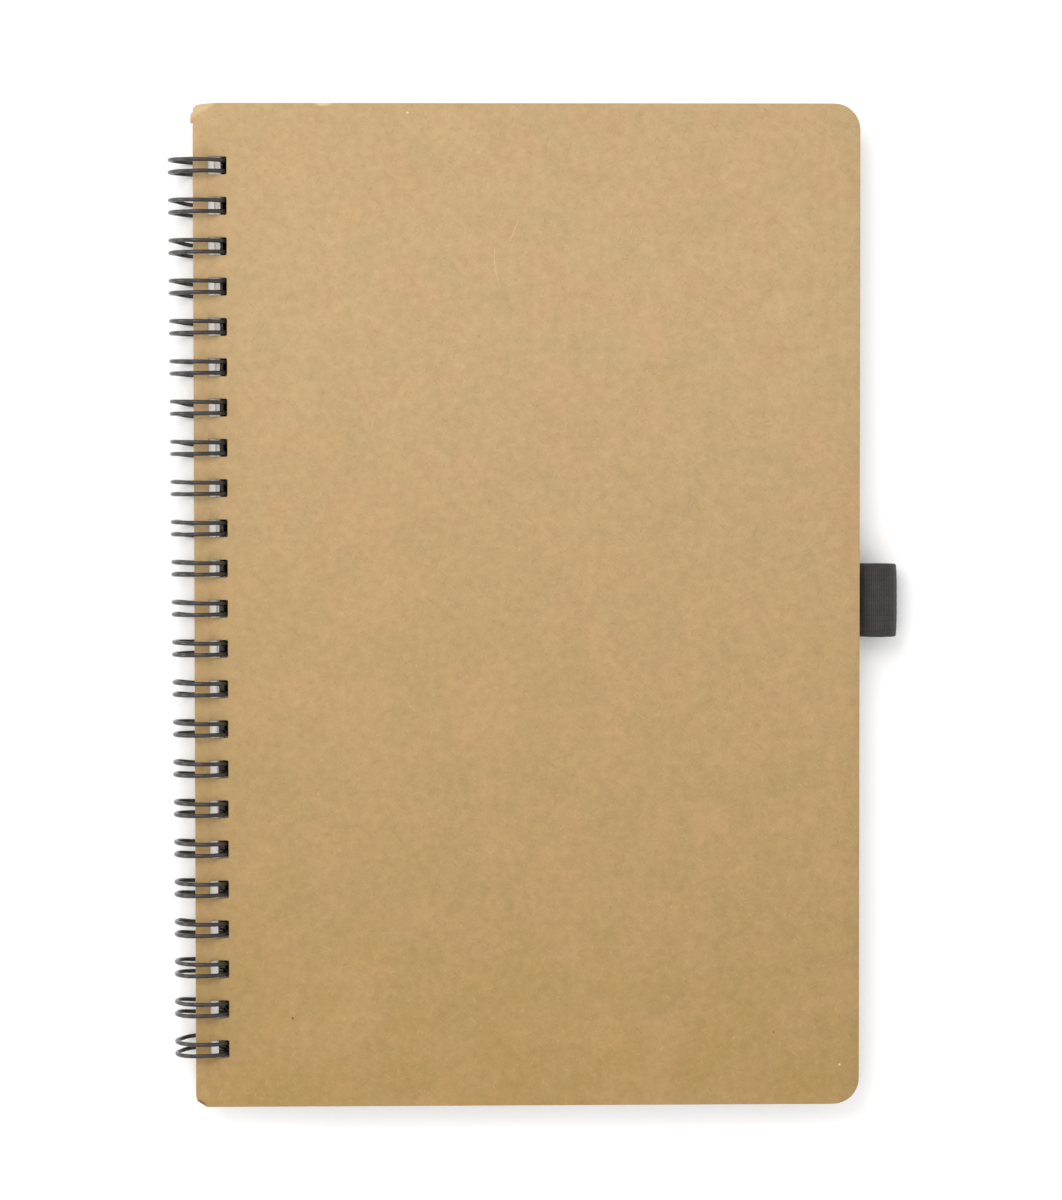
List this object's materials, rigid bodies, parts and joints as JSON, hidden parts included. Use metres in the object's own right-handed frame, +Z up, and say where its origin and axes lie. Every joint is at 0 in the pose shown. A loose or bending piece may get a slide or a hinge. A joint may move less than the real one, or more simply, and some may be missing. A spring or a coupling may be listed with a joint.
{
  "type": "spiral notebook",
  "caption": "Twin-loop wire bound notebook with kraft card covers, a punched page block and a black elastic pen loop at the fore-edge.",
  "frame": {"origin": "middle of the whole object's box, on the surface it lies on", "axes": "+X from the wire binding to the fore-edge and the pen loop, +Y up the page to its head, +Z up through the closed book"},
  "size_m": [0.1542, 0.2116, 0.0133],
  "materials": {
    "kraft_card": "uncoated brown kraft board, matte, with fine fibres",
    "page_paper": "uncoated white writing paper, matte",
    "coated_wire": "steel wire in a smooth dark grey plastic coating, satin",
    "woven_elastic": "black woven elastic band, matte, ribbed lengthwise",
    "patch_paper": "brown self-adhesive kraft paper, matte"
  },
  "bodies": {
    "pages": {"page_block": "page_paper", "binding_wire": "coated_wire"},
    "front_cover": {"front_cover": "kraft_card"},
    "back_cover": {"back_cover": "kraft_card", "pen_loop": "woven_elastic", "pen_loop_patch": "patch_paper"}
  },
  "joints": [
    {"name": "front_cover_hinge", "type": "hinge", "parent": "pages", "child": "front_cover", "pos_m": [-0.07047, 0, 0.00665], "axis": [0, -1, 0], "range_deg": [0, 180]},
    {"name": "back_cover_hinge", "type": "hinge", "parent": "pages", "child": "back_cover", "pos_m": [-0.07047, 0, 0.00665], "axis": [0, 1, 0], "range_deg": [0, 180]}
  ]
}
